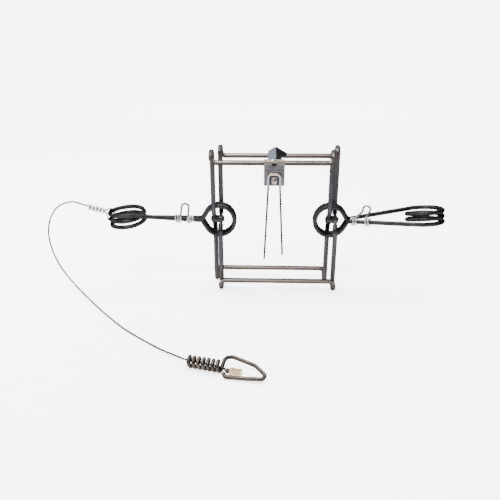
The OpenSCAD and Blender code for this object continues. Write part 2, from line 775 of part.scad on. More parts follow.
function spline(p, i, t) = let (
    a = p[max(i - 1, 0)],
    b = p[i],
    c = p[i + 1],
    d = p[min(i + 2, len(p) - 1)]
) b + t / 2 * (c - a + t * (2 * a - 5 * b + 4 * c - d + t * (3 * (b - c) + d - a)));
cable_line = concat(
    [for (i = [0:len(route) - 2])
        let (n = max(1, round(norm(route[i + 1] - route[i]) / cable_step)))
            for (k = [0:n - 1]) spline(route, i, k / n)],
    [route[len(route) - 1]]
);
cable_last = len(cable_line) - 1;
function cable_heading(i) = i == 0 ? ferrule_dir
    : i == cable_last ? anchor_axis
    : dir(cable_line[i - 1], cable_line[i + 1]);
function cable_ring(i) = let (
    t = cable_heading(i),
    x = square_to([0.3, -1, 0.2], t),
    y = cross(t, x)
) [for (k = [0:cable_sides - 1])
    cable_line[i] + cable_d / 2 * (x * cos(360 * k / cable_sides) + y * sin(360 * k / cable_sides))];
function length_to(p, i) = i == 0 ? 0 : norm(p[i] - p[i - 1]) + length_to(p, i - 1);

module anchor_cable() {
    n = cable_sides;
    sides = [for (i = [0:cable_last - 1], k = [0:n - 1]) each [
        [i * n + k, (i + 1) * n + k, i * n + (k + 1) % n],
        [i * n + (k + 1) % n, (i + 1) * n + k, (i + 1) * n + (k + 1) % n]
    ]];
    caps = [[for (k = [0:n - 1]) k], [for (k = [n - 1:-1:0]) cable_last * n + k]];
    color(cable_steel) polyhedron(
        points = [for (i = [0:cable_last]) each cable_ring(i)],
        faces = concat(sides, caps)
    );
}

echo(
    left_spring_least_gap = least_gap(spring_points(-1), wire_d, 7),
    right_spring_least_gap = least_gap(spring_points(1), wire_d, 7)
);
echo(
    hook_least_gap = least_gap(
        [for (k = [0:hook_halves - 1])
            each half_turn_points(wrap_end(1, k), wrap_end(1, k + 1), wrap_heading(k))],
        hook_wire_d, 9),
    anchor_least_gap = least_gap(
        concat(
            [for (k = [0:anchor_halves - 1])
                each half_turn_points(anchor_end(k), anchor_end(k + 1), anchor_heading(k))],
            loop_path),
        anchor_wire_d, 9)
);
echo(cable_length = length_to(cable_line, cable_last), cable_rings = len(cable_line));

jaw_front();
jaw_rear();
pivot_rivet_left();
pivot_rivet_right();
pivot_washer_left();
pivot_washer_right();
spring_left_coil();
spring_left_front_arm();
spring_left_rear_arm();
spring_right_coil();
spring_right_front_arm();
spring_right_rear_arm();
trigger_plate();
trigger_keeper();
trigger_wire();
trigger_rivet();
dog();
safety_hook_left();
safety_hook_right();
cable_eye();
cable_ferrule();
anchor_cable();
cable_collar();
cable_stop();
anchor_loop();
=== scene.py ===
"""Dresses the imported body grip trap: its cable, finishes, pressed pieces, stage and camera."""

import math

import bmesh
import bpy
from mathutils import Matrix, Vector


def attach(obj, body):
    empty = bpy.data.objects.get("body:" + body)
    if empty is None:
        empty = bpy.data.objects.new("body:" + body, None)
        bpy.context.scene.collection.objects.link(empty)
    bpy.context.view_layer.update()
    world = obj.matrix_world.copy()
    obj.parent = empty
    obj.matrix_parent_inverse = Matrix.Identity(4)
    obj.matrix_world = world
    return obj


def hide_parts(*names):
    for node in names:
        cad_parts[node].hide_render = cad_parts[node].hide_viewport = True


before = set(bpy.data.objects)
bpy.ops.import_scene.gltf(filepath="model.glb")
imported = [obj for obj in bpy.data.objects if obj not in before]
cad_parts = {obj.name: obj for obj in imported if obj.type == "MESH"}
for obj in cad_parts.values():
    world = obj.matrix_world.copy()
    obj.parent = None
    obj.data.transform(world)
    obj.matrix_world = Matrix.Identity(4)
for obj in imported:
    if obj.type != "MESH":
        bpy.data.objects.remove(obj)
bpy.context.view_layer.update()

bl_info = {
    "name": "Body Grip Trap",
    "version": (1, 0, 0),
    "blender": (4, 5, 0),
    "location": "3D View > Sidebar > Trap",
    "description": "Rebuilds a set body grip trap with its cable, finishes and stage",
    "category": "Object",
}

MM = 0.001

# Height of the jaws' pivots and of their top bars, in millimetres
PIVOT_Z = 116.95
TOP_BAR_Z = 214.95

# The cable's route in millimetres, from the ferrule to the anchor coil, and the space between the points of
# the smooth line through it
CABLE_ROUTE = [
    (-304.179, 0, 136.842), (-310.955, 0, 138.596), (-324, -1.5, 143.3), (-332, -3, 144), (-340, -4.5, 142.5),
    (-348, -6.5, 139), (-354.5, -8.5, 134), (-359.5, -11, 127), (-364, -14, 118), (-366.5, -17.5, 107),
    (-367, -21, 96), (-365.5, -24.5, 85), (-363.5, -26, 74), (-360.5, -26.5, 61.5), (-356.5, -26, 47.5),
    (-350, -26, 33.5), (-341, -28, 20.5), (-329, -34.5, 10), (-315, -46.5, 3.8), (-297, -66.5, 1.7),
    (-276.5, -91.5, 1.5), (-257, -114, 1.5), (-237, -136.5, 1.5), (-216.5, -158, 1.5), (-197.5, -175, 1.5),
    (-180, -189.5, 1.5), (-162, -204, 1.7), (-147.5, -216, 2.8), (-134.5, -226.5, 4.8), (-123.5, -237, 7.4),
    (-116.5, -243.6, 9.2),
]
CABLE_STEP = 1.6

# The anchor coil's start, axis and length, the cable's play in its bore, and the stop's distance from the
# coil's start and height, in millimetres
ANCHOR_START = Vector((-111, -246.8, 8.3))
ANCHOR_AXIS = Vector((0.971, -0.239, 0)).normalized()
ANCHOR_LENGTH = 44.8
BORE_PLAY = 1.6
STOP_AT = 56.8
STOP_Z = 3.4

# The cable's last points, each as a distance along the anchor's axis and a height, in millimetres
STOP_ROUTE = (
    (-1.5, ANCHOR_START.z + BORE_PLAY),
    (ANCHOR_LENGTH / 2, ANCHOR_START.z),
    (ANCHOR_LENGTH + 2, ANCHOR_START.z - BORE_PLAY),
    (ANCHOR_LENGTH + 6, STOP_Z + 0.15),
    (STOP_AT - 1.5, STOP_Z),
    (STOP_AT, STOP_Z),
)

# The cable's eye round the left coil's wire, and the ferrule with its crimps that closes it, in millimetres
FERRULE_IN = Vector((-278.9, 0, 128.75))
FERRULE_WAY = Vector((-25.5, 0, 6.6)).normalized()
FERRULE_PITCH = 5.7
EYE_RADIUS = 4.2
EYE_SPACE = 1.5
EYE_ENDS = (1.5, -3.5)
EYE_FIT = 0.97
EYE_CORNERS = [(-269.7, 0, 132.1), (-261.85, 0, 132.1), (-261.85, 0, 112.15), (-272.55, 0, 112.15)]
CRIMP_EDGES = (3.3, 3.9, 5.3, 5.7)

# Degrees between the points on a bend of a wire, and the sides of each strand of a wire rope
BEND_STEP = 6
STRAND_SIDES = 6

# Edges sharper than this many degrees are eased, in this many facets
EASE_ANGLE, EASE_FACETS = 32, 3

# The trigger's arch, in millimetres: its rivet in X and Z, half its flat top and the height of its shoulders
# over the rivet, and the distances from that outline where the arch's painted highlight and the painted shade
# in the recess inside it come and go
ARCH_CENTRE = (-1.8, 188.35)
ARCH_FLAT, ARCH_SHOULDER = 4, 5.4
ARCH_EDGES = (3.2, 4.0, 6.2, 7.2)
RECESS_EDGES = (0.6, 1.2, 2.6, 3.4)

# The crease's height over the rivet and the halves of its core and of its width, where shade is painted, and
# the heights between which the arch's crown and the knuckles round the bar take their painted highlights, in
# millimetres
CREASE_ABOVE = 16.6
CREASE_EDGES = (0.3, 0.9)
CROWN_EDGES = (195.5, 198)
KNUCKLE_EDGES = (TOP_BAR_Z - 2.75, TOP_BAR_Z - 1.15)

# Distances from the height of the pivots where the strike bars' brown colour, painted highlight and painted
# shade come and go, and how far these edges wander, in millimetres
STRIKE_COMES = (78, 94)
STRIKE_GOES = (102, 112)
STRIKE_WAVER = 16

# Where the dog's lit left cheek goes over into its right one in painted shade in X, and where a hook's wraps
# go over into its legs in Z, in millimetres
DOG_RIDGE_EDGES = (0.4, 1.2)
HOOK_LEG_EDGES = (121.5, 127)

# The camera that was fitted to the photograph, in millimetres and pixels
CAMERA_AT = Vector((-9.0, -814.9, 390.1))
CAMERA_LOOK = Vector((-0.0354, 0.9272, -0.3730)).normalized()
CAMERA_RIGHT = Vector((0.99931, 0.03693, -0.00313))
CAMERA_FOCAL = 527.7
IMAGE_WIDTH = 500
SENSOR = 36


def route_to_stop():
    """The whole route of the cable, through the anchor coil to the stop."""
    points = [Vector(p) for p in CABLE_ROUTE]
    for along, z in STOP_ROUTE:
        p = ANCHOR_START + ANCHOR_AXIS * along
        points.append(Vector((p.x, p.y, z)))
    return points


def eye_route():
    """The corners of the cable's eye, from one bore of the ferrule to the other."""
    across = Vector((-FERRULE_WAY.z, 0, FERRULE_WAY.x)) * EYE_SPACE
    ends = [[FERRULE_IN + across * side + FERRULE_WAY * along for along in EYE_ENDS] for side in (-1, 1)]
    return ends[0] + [Vector(p) for p in EYE_CORNERS] + ends[1][::-1]


def smooth_line(points, step):
    """Points every step or so along a smooth curve through the given ones."""
    line = []
    for i in range(len(points) - 1):
        a, b = points[max(i - 1, 0)], points[i]
        c, d = points[i + 1], points[min(i + 2, len(points) - 1)]
        n = max(1, round((c - b).length / step))
        for k in range(n):
            t = k / n
            line.append(b + t / 2 * (c - a + t * (2 * a - 5 * b + 4 * c - d + t * (3 * (b - c) + d - a))))
    line.append(points[-1])
    return line


def bent_wire(points, radius):
    """Centreline of a wire that is bent to one radius at each inner corner."""
    line = [points[0]]
    for a, b, c in zip(points, points[1:], points[2:]):
        u, v = (b - a).normalized(), (c - b).normalized()
        angle = u.angle(v)
        if angle < 1e-4:
            line.append(b)
            continue
        inward = (v - u * v.dot(u)).normalized()
        start = b - u * radius * math.tan(angle / 2)
        n = max(2, math.ceil(math.degrees(angle) / BEND_STEP))
        for k in range(n + 1):
            t = angle * k / n
            line.append(start + u * radius * math.sin(t) + inward * radius * (1 - math.cos(t)))
    line.append(points[-1])
    return line


def frames_along(line):
    """A direction and two square directions at each point, turning as little as possible."""
    n = len(line)
    heading = [(line[min(i + 1, n - 1)] - line[max(i - 1, 0)]).normalized() for i in range(n)]
    side = heading[0].orthogonal().normalized()
    out = []
    for h in heading:
        side = (side - h * side.dot(h)).normalized()
        out.append((h, side, h.cross(side)))
    return out


def new_object(name, bm):
    """A smooth object of the scene from a bmesh, which is freed."""
    mesh = bpy.data.meshes.new(name)
    bm.normal_update()
    bm.to_mesh(mesh)
    bm.free()
    for face in mesh.polygons:
        face.use_smooth = True
    obj = bpy.data.objects.new(name, mesh)
    bpy.context.scene.collection.objects.link(obj)
    return obj


def sweep(bm, line, radius, sides):
    """A round tube along a line."""
    corners = [2 * math.pi * k / sides for k in range(sides)]
    rings = [[bm.verts.new(p + (side * math.cos(a) + over * math.sin(a)) * radius) for a in corners]
             for p, (_, side, over) in zip(line, frames_along(line))]
    for a, b in zip(rings, rings[1:]):
        for k in range(sides):
            bm.faces.new((a[k], a[(k + 1) % sides], b[(k + 1) % sides], b[k]))
    for rim in (rings[0][::-1], rings[-1]):
        bm.faces.new(rim)


def stranded(name, line, radius, strands, lay):
    """A wire rope: strands laid round a core, each a tube of its own."""
    bm = bmesh.new()
    frames = frames_along(line)
    strand_r = radius / 3
    along = 0.0
    turns = [0.0]
    for a, b in zip(line, line[1:]):
        along += (b - a).length
        turns.append(2 * math.pi * along / lay)
    for s in range(strands):
        path = []
        for p, (_, side, over), turn in zip(line, frames, turns):
            angle = turn + 2 * math.pi * s / strands
            path.append((p + (side * math.cos(angle) + over * math.sin(angle)) * (radius - strand_r)) * MM)
        sweep(bm, path, strand_r * MM, STRAND_SIDES)
    sweep(bm, [p * MM for p in line], strand_r * MM, STRAND_SIDES)
    return new_object(name, bm)


def rounded(node, width):
    """A copy of a CAD node's shape with its sharp edges eased, as pressing and tumbling leave them."""
    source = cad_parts[node]
    bm = bmesh.new()
    bm.from_mesh(source.data)
    bmesh.ops.transform(bm, matrix=source.matrix_world, verts=bm.verts)
    bmesh.ops.remove_doubles(bm, verts=bm.verts, dist=2e-6)
    bmesh.ops.dissolve_limit(bm, angle_limit=math.radians(0.5), verts=bm.verts, edges=bm.edges)
    limit = math.radians(EASE_ANGLE)
    sharp = [e for e in bm.edges if len(e.link_faces) == 2 and e.calc_face_angle(0) > limit]
    bmesh.ops.bevel(
        bm, geom=sharp, offset=width * MM, segments=EASE_FACETS, profile=0.5, affect="EDGES",
        clamp_overlap=True)
    obj = new_object(f"{node}_eased", bm)
    obj.modifiers.new("even_normals", "WEIGHTED_NORMAL").weight = 80
    return obj


# Shader node groups

class Nodes:
    """Short calls for building one node tree."""

    def __init__(self, tree):
        self.tree = tree
        self.x = 0

    def add(self, kind, **values):
        node = self.tree.nodes.new(kind)
        node.location = (self.x, 0)
        self.x += 180
        for key, value in values.items():
            setattr(node, key, value)
        return node

    def link(self, a, b):
        self.tree.links.new(a, b)

    def put(self, socket, value):
        """Links a socket to another, or sets its own value."""
        if isinstance(value, bpy.types.NodeSocket):
            self.link(value, socket)
        else:
            socket.default_value = value

    def math(self, operation, a, b=0.0, clamp=False):
        node = self.add("ShaderNodeMath", operation=operation, use_clamp=clamp)
        self.put(node.inputs[0], a)
        self.put(node.inputs[1], b)
        return node.outputs[0]

    def mix(self, factor, a, b):
        """Colour a where the factor is 0, colour b where it is 1."""
        node = self.add("ShaderNodeMix", data_type="RGBA")
        self.put(node.inputs["Factor"], factor)
        self.put(node.inputs[6], a)
        self.put(node.inputs[7], b)
        return node.outputs[2]

    def noise(self, vector, scale, detail=3.0, rough=0.55, distortion=0.0):
        node = self.add("ShaderNodeTexNoise")
        self.put(node.inputs["Vector"], vector)
        self.put(node.inputs["Scale"], scale)
        node.inputs["Detail"].default_value = detail
        node.inputs["Roughness"].default_value = rough
        node.inputs["Distortion"].default_value = distortion
        return node.outputs["Fac"]

    def range(self, value, low, high, out_low=0.0, out_high=1.0):
        node = self.add("ShaderNodeMapRange")
        node.clamp = True
        self.put(node.inputs["Value"], value)
        self.put(node.inputs["From Min"], low)
        self.put(node.inputs["From Max"], high)
        self.put(node.inputs["To Min"], out_low)
        self.put(node.inputs["To Max"], out_high)
        return node.outputs["Result"]

    def place(self):
        """The place on the object, in metres."""
        return self.add("ShaderNodeTexCoord").outputs["Object"]

    def parts(self, vector):
        """The three parts of a vector."""
        node = self.add("ShaderNodeSeparateXYZ")
        self.link(vector, node.inputs[0])
        return node.outputs

    def both(self, a, b):
        """Two masks or values multiplied."""
        return self.math("MULTIPLY", a, b)

    def edge(self, value, edges, out_low=0.0, out_high=1.0):
        """A mask that goes over from one value to the other between two edges, both in millimetres."""
        return self.range(value, edges[0] * MM, edges[1] * MM, out_low, out_high)

    def band(self, value, edges):
        """A mask that comes between the first two edges and goes between the last two, all in millimetres."""
        return self.both(self.edge(value, edges[:2]), self.edge(value, edges[2:], 1.0, 0.0))

    def upward(self):
        """How far the surface looks up, from -1 to 1."""
        return self.parts(self.add("ShaderNodeNewGeometry").outputs["Normal"])[2]


def group(name, inputs, outputs):
    """A new node group with the named sockets, and its builder."""
    tree = bpy.data.node_groups.new(name, "ShaderNodeTree")
    for label, kind, default in inputs:
        socket = tree.interface.new_socket(label, in_out="INPUT", socket_type=kind)
        if default is not None:
            socket.default_value = default
    for label, kind in outputs:
        tree.interface.new_socket(label, in_out="OUTPUT", socket_type=kind)
    n = Nodes(tree)
    start = n.add("NodeGroupInput")
    end = tree.nodes.new("NodeGroupOutput")
    end.location = (2600, 0)
    return tree, n, start.outputs, end.inputs


FLOAT, COLOUR, VECTOR = "NodeSocketFloat", "NodeSocketColor", "NodeSocketVector"


def rolled_steel_group():
    """Hot-rolled wire, rod and sheet: cloudy scale, small bare patches, brown stains and specks, and pits."""
    tree, n, given, out = group(
        "Rolled Steel",
        [("Place", VECTOR, None), ("Scale Colour", COLOUR, (0.05, 0.055, 0.07, 1)),
         ("Bare Colour", COLOUR, (0.3, 0.3, 0.32, 1)), ("Stain Colour", COLOUR, (0.14, 0.08, 0.05, 1)),
         ("Bareness", FLOAT, 0.4), ("Staining", FLOAT, 0.3)],
        [("Colour", COLOUR), ("Roughness", FLOAT), ("Height", FLOAT)],
    )
    p = given["Place"]
    cloud = n.noise(p, 55.0, 4.0, 0.6, 0.4)
    patch = n.noise(p, 170.0, 5.0, 0.65, 0.8)
    speck = n.noise(p, 620.0, 3.0, 0.6)
    fine = n.noise(p, 1900.0, 2.0, 0.5)
    limit = n.math("SUBTRACT", 0.72, n.both(given["Bareness"], 0.34))
    blend = n.math("ADD", n.both(cloud, 0.55), n.both(patch, 0.45))
    bare = n.range(blend, n.math("SUBTRACT", limit, 0.09), n.math("ADD", limit, 0.07))
    tint = n.mix(n.range(cloud, 0.35, 0.68, 0.0, 0.55), given["Scale Colour"], given["Bare Colour"])
    colour = n.mix(n.both(bare, 0.85), tint, given["Bare Colour"])
    stain_limit = n.math("SUBTRACT", 0.74, n.both(given["Staining"], 0.3))
    stain = n.range(n.noise(p, 95.0, 6.0, 0.7, 1.2), stain_limit, n.math("ADD", stain_limit, 0.1))
    spots = n.both(n.range(speck, 0.66, 0.74), given["Staining"])
    stain = n.math("MAXIMUM", n.both(stain, 0.8), spots)
    colour = n.mix(stain, colour, given["Stain Colour"])
    n.put(out["Colour"], n.mix(n.range(fine, 0.3, 0.7, 0.0, 0.28), colour, (0.012, 0.012, 0.014, 1)))
    rough = n.math("SUBTRACT", n.range(patch, 0.3, 0.75, 0.5, 0.3), n.both(bare, 0.08))
    n.put(out["Roughness"], n.math("ADD", rough, n.both(stain, 0.3), True))
    height = n.math("ADD", n.both(patch, 0.5), n.both(fine, 0.25))
    n.put(out["Height"], n.math("SUBTRACT", height, n.both(n.range(speck, 0.6, 0.75), 0.6)))
    return tree


def plated_group():
    """Zinc plating: crystal patches of slightly different grey, dull bloom and dirt."""
    tree, n, given, out = group(
        "Zinc Plate",
        [("Place", VECTOR, None), ("Crystal Size", FLOAT, 1.0), ("Light", COLOUR, (0.75, 0.77, 0.8, 1)),
         ("Dark", COLOUR, (0.45, 0.47, 0.5, 1)), ("Dirt", COLOUR, (0.2, 0.17, 0.13, 1)),
         ("Dirtiness", FLOAT, 0.3)],
        [("Colour", COLOUR), ("Roughness", FLOAT), ("Height", FLOAT)],
    )
    cells = n.add("ShaderNodeTexVoronoi")
    n.put(cells.inputs["Vector"], given["Place"])
    n.put(cells.inputs["Scale"], n.math("DIVIDE", 480.0, given["Crystal Size"]))
    value = n.add("ShaderNodeSeparateColor")
    n.link(cells.outputs["Color"], value.inputs[0])
    bloom = n.noise(given["Place"], 130.0, 5.0, 0.65, 0.5)
    fine = n.noise(given["Place"], 2300.0, 2.0, 0.5)
    shade = n.math("ADD", n.both(value.outputs[0], 0.45), n.both(bloom, 0.6))
    colour = n.mix(n.range(shade, 0.25, 0.85), given["Dark"], given["Light"])
    clean = n.math("SUBTRACT", 0.78, n.both(given["Dirtiness"], 0.3))
    dirt = n.range(n.noise(given["Place"], 260.0, 6.0, 0.7, 1.0), clean, 0.82)
    n.put(out["Colour"], n.mix(dirt, colour, given["Dirt"]))
    dull = n.range(bloom, 0.3, 0.75, 0.24, 0.46)
    n.put(out["Roughness"], n.math("ADD", dull, n.both(dirt, 0.25), True))
    n.put(out["Height"], n.math("ADD", n.both(bloom, 0.4), n.both(fine, 0.3)))
    return tree


def scratches_group():
    """Thin straight scratches in two directions, as a mask."""
    tree, n, given, out = group(
        "Scratches", [("Place", VECTOR, None), ("Density", FLOAT, 0.5)], [("Mask", FLOAT)])
    masks = []
    for turn, stretch in (((0.3, 0.5, 0.2), (900, 60, 900)), ((1.1, 0.2, 0.9), (60, 1100, 700))):
        mapping = n.add("ShaderNodeMapping")
        n.link(given["Place"], mapping.inputs["Vector"])
        mapping.inputs["Rotation"].default_value = turn
        mapping.inputs["Scale"].default_value = stretch
        line = n.noise(mapping.outputs[0], 1.0, 1.0, 0.4)
        masks.append(n.range(line, n.math("SUBTRACT", 0.78, n.both(given["Density"], 0.1)), 0.8))
    n.put(out["Mask"], n.math("MAXIMUM", masks[0], masks[1], True))
    return tree


def settled_dust_group():
    """Pale dust on faces that look up, broken by noise, as a mask."""
    tree, n, given, out = group(
        "Settled Dust", [("Place", VECTOR, None), ("Amount", FLOAT, 0.3)], [("Mask", FLOAT)])
    broken = n.range(n.noise(given["Place"], 320.0, 5.0, 0.7), 0.38, 0.72)
    film = n.both(n.range(n.upward(), 0.5, 1.0), broken)
    n.put(out["Mask"], n.math("MULTIPLY", film, given["Amount"], True))
    return tree


def arch_group():
    """Masks on the trigger plate for painted highlight and shade: the raised arch over the wire, its recess
    and the crease above.
    """
    tree, n, given, out = group(
        "Trigger Marks", [("Place", VECTOR, None)], [("Arch", FLOAT), ("Recess", FLOAT), ("Crease", FLOAT)])
    place = n.parts(given["Place"])
    x = n.math("ABSOLUTE", n.math("SUBTRACT", place[0], ARCH_CENTRE[0] * MM))
    z = n.math("SUBTRACT", place[2], ARCH_CENTRE[1] * MM)
    side = n.math("MAXIMUM", n.math("SUBTRACT", x, ARCH_FLAT * MM), 0.0)
    above = n.math("MAXIMUM", n.math("SUBTRACT", z, ARCH_SHOULDER * MM), 0.0)
    away = n.math("SQRT", n.math("ADD", n.both(side, side), n.both(above, above)))
    n.put(out["Arch"], n.band(away, ARCH_EDGES))
    n.put(out["Recess"], n.band(away, RECESS_EDGES))
    crease = n.math("ABSOLUTE", n.math("SUBTRACT", z, CREASE_ABOVE * MM))
    n.put(out["Crease"], n.edge(crease, CREASE_EDGES, 1.0, 0.0))
    return tree


def crimps_group():
    """The pressed grooves of the ferrule, as a mask along its axis."""
    tree, n, given, out = group("Crimps", [("Place", VECTOR, None)], [("Mask", FLOAT)])
    place = n.parts(given["Place"])
    x = n.math("SUBTRACT", place[0], FERRULE_IN.x * MM)
    z = n.math("SUBTRACT", place[2], FERRULE_IN.z * MM)
    along = n.math("ADD", n.both(x, FERRULE_WAY.x), n.both(z, FERRULE_WAY.z))
    step = n.math("MODULO", along, FERRULE_PITCH * MM)
    n.put(out["Mask"], n.band(step, CRIMP_EDGES))
    return tree


GROUPS = {}
DUST = (0.3, 0.28, 0.26, 1)


def use(n, name, **values):
    """Places a node group with its own values, and gives its outputs."""
    node = n.add("ShaderNodeGroup", node_tree=GROUPS[name])
    for key, value in values.items():
        n.put(node.inputs[key.replace("_", " ")], value)
    return node.outputs


def make_groups():
    """Builds the node groups, once for all the materials."""
    for name, build in (("Rolled Steel", rolled_steel_group), ("Zinc Plate", plated_group),
                        ("Scratches", scratches_group), ("Settled Dust", settled_dust_group),
                        ("Trigger Marks", arch_group), ("Crimps", crimps_group)):
        if name not in GROUPS:
            GROUPS[name] = build()


def material(name):
    """A new material with a Principled shader, and the builder of its tree."""
    made = bpy.data.materials.new(name)
    made.use_nodes = True
    made.node_tree.nodes.clear()
    n = Nodes(made.node_tree)
    shader = n.add("ShaderNodeBsdfPrincipled")
    end = made.node_tree.nodes.new("ShaderNodeOutputMaterial")
    n.link(shader.outputs[0], end.inputs[0])
    shader.location, end.location = (2400, 0), (2700, 0)
    return made, n, shader.inputs


def bump(n, shader, height, strength, distance):
    """Small relief in the shader's normal."""
    node = n.add("ShaderNodeBump")
    node.inputs["Strength"].default_value = strength
    node.inputs["Distance"].default_value = distance
    n.put(node.inputs["Height"], height)
    n.put(shader["Normal"], node.outputs[0])


def metal(n, shader, rim, roughness):
    """A metal's roughness, and the tint of its grazing reflections."""
    shader["Metallic"].default_value = 1.0
    shader["Specular Tint"].default_value = (rim, rim, rim, 1)
    n.put(shader["Roughness"], roughness)


def rolled_steel(name, scale, bare, stain, bareness, staining, scratches=0.4, dust=0.12, rim=0.25,
                 dulling=0.0, change=None):
    """Bare or scaled steel. change takes the tree, the place and the colour, and gives a new colour."""
    made, n, shader = material(name)
    place = n.place()
    surface = use(n, "Rolled Steel", Place=place, Scale_Colour=scale, Bare_Colour=bare, Stain_Colour=stain,
                  Bareness=bareness, Staining=staining)
    colour = surface["Colour"]
    if change:
        colour = change(n, place, colour)
    marks = use(n, "Scratches", Place=place, Density=scratches)["Mask"]
    colour = n.mix(n.both(marks, 0.7), colour, bare)
    film = use(n, "Settled Dust", Place=place, Amount=dust)["Mask"]
    n.put(shader["Base Color"], n.mix(film, colour, DUST))
    rough = n.math("ADD", surface["Roughness"], n.both(film, 0.4), True)
    metal(n, shader, rim, n.math("ADD", rough, dulling, True))
    relief = n.math("SUBTRACT", surface["Height"], n.both(marks, 0.3))
    bump(n, shader, relief, strength=0.35, distance=0.12 * MM)
    return made


def zinc(name, light, dark, dirtiness=0.3, crystal=1.0, rim=0.8, dulling=0.0, change=None):
    """Zinc plate, or a cast or stranded metal like it."""
    made, n, shader = material(name)
    place = n.place()
    surface = use(n, "Zinc Plate", Place=place, Crystal_Size=crystal, Light=light, Dark=dark,
                  Dirtiness=dirtiness)
    colour = surface["Colour"]
    if change:
        colour = change(n, place, colour)
    marks = use(n, "Scratches", Place=place, Density=0.5)["Mask"]
    n.put(shader["Base Color"], n.mix(n.both(marks, 0.5), colour, dark))
    metal(n, shader, rim, n.math("ADD", surface["Roughness"], dulling, True))
    relief = n.math("SUBTRACT", surface["Height"], n.both(marks, 0.4))
    bump(n, shader, relief, strength=0.3, distance=0.1 * MM)
    return made


def dress(node, made):
    """Gives a CAD node its material."""
    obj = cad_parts[node]
    obj.data.materials.clear()
    obj.data.materials.append(made)


def stand_for(obj, made, body, node):
    """A built piece takes its material and its body, and hides the CAD node it stands for."""
    obj.data.materials.append(made)
    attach(obj, body)
    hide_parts(node)


# Settings

class TrapFinish(bpy.types.PropertyGroup):
    """Colours of the trap's steels."""

    jaw: bpy.props.FloatVectorProperty(
        name="Jaw rod", description="Colour of the bare rod of the jaws", subtype="COLOR", size=4,
        min=0, max=1, default=(0.03, 0.029, 0.033, 1))
    strike: bpy.props.FloatVectorProperty(
        name="Strike bars", description="Browner colour of the worn strike bars", subtype="COLOR", size=4,
        min=0, max=1, default=(0.046, 0.037, 0.032, 1))
    spring: bpy.props.FloatVectorProperty(
        name="Spring scale", description="Colour of the blued spring wire", subtype="COLOR", size=4,
        min=0, max=1, default=(0.0105, 0.0105, 0.011, 1))
    sheet: bpy.props.FloatVectorProperty(
        name="Trigger sheet", description="Colour of the pressed trigger plate", subtype="COLOR", size=4,
        min=0, max=1, default=(0.085, 0.078, 0.085, 1))
    dog: bpy.props.FloatVectorProperty(
        name="Dog sheet", description="Colour of the pressed dog", subtype="COLOR", size=4,
        min=0, max=1, default=(0.05, 0.056, 0.068, 1))
    anchor: bpy.props.FloatVectorProperty(
        name="Anchor wire", description="Colour of the anchor fitting's wire", subtype="COLOR", size=4,
        min=0, max=1, default=(0.062, 0.051, 0.043, 1))


class TrapCable(bpy.types.PropertyGroup):
    """The cable's make."""

    diameter: bpy.props.FloatProperty(
        name="Diameter", description="Diameter over the strands", unit="LENGTH", min=0.0016, max=0.0029,
        default=0.0028)
    strands: bpy.props.IntProperty(
        name="Strands", description="Strands laid round the core", min=5, max=8, default=6)
    lay: bpy.props.FloatProperty(
        name="Lay", description="Length in which a strand goes once round", unit="LENGTH",
        min=0.008, max=0.03, default=0.014)


class TrapStage(bpy.types.PropertyGroup):
    """Floor and light."""

    floor: bpy.props.FloatVectorProperty(
        name="Floor", description="Colour of the floor", subtype="COLOR", size=4, min=0, max=1,
        default=(0.93, 0.935, 0.94, 1))
    glow: bpy.props.FloatProperty(
        name="Floor glow", description="Light that the light table gives from below",
        min=0, max=6, default=2.1)
    sky: bpy.props.FloatProperty(
        name="Surrounding light", description="Strength of the light from all round",
        min=0, max=4, default=0.5)
    key: bpy.props.FloatProperty(
        name="Key light", description="Power of the main soft light", unit="POWER",
        min=0, max=500, default=60)


# Stage

def add_camera(scene):
    """The camera that was fitted to the photograph."""
    right = (CAMERA_RIGHT - CAMERA_LOOK * CAMERA_RIGHT.dot(CAMERA_LOOK)).normalized()
    up = right.cross(CAMERA_LOOK)
    camera = bpy.data.objects.new("camera", bpy.data.cameras.new("camera"))
    camera.data.sensor_width = SENSOR
    camera.data.lens = CAMERA_FOCAL / IMAGE_WIDTH * SENSOR
    camera.data.clip_start, camera.data.clip_end = 0.05, 50
    spin = Matrix((right, up, -CAMERA_LOOK)).transposed().to_4x4()
    camera.matrix_world = Matrix.Translation(CAMERA_AT * MM) @ spin
    scene.collection.objects.link(camera)
    scene.camera = camera


def add_floor(settings):
    """A light table that curves up into its back wall, brighter towards the back."""
    bm = bmesh.new()
    front, depth, curve, height, width = -3.0, 2.2, 1.2, 4.0, 6.0
    profile = [(front, 0.0), (0.0, 0.0), (depth, 0.0)]
    profile += [(depth + curve * math.sin(a), curve * (1 - math.cos(a)))
                for a in (math.radians(x) for x in range(10, 91, 10))]
    profile.append((depth + curve, height))
    across = (-width, -width / 3, 0.0, width / 3, width)
    rows = [[bm.verts.new((x, y, z)) for x in across] for y, z in profile]
    for a, b in zip(rows, rows[1:]):
        for k in range(len(a) - 1):
            bm.faces.new((a[k], a[k + 1], b[k + 1], b[k]))
    floor = new_object("floor", bm)
    made, n, shader = material("pale_floor")
    place = n.place()
    cloud = n.range(n.noise(place, 3.0, 2.0), 0.3, 0.7, 0.0, 0.25)
    n.put(shader["Base Color"], n.mix(cloud, tuple(settings.floor), (0.88, 0.89, 0.9, 1)))
    shader["Roughness"].default_value = 0.9
    shader["Specular IOR Level"].default_value = 0.1
    shader["Emission Color"].default_value = (1, 1, 1, 1)
    far = n.range(n.parts(place)[1], -0.2, depth)
    n.put(shader["Emission Strength"], n.math("ADD", settings.glow, n.both(far, 2.4)))
    floor.data.materials.append(made)


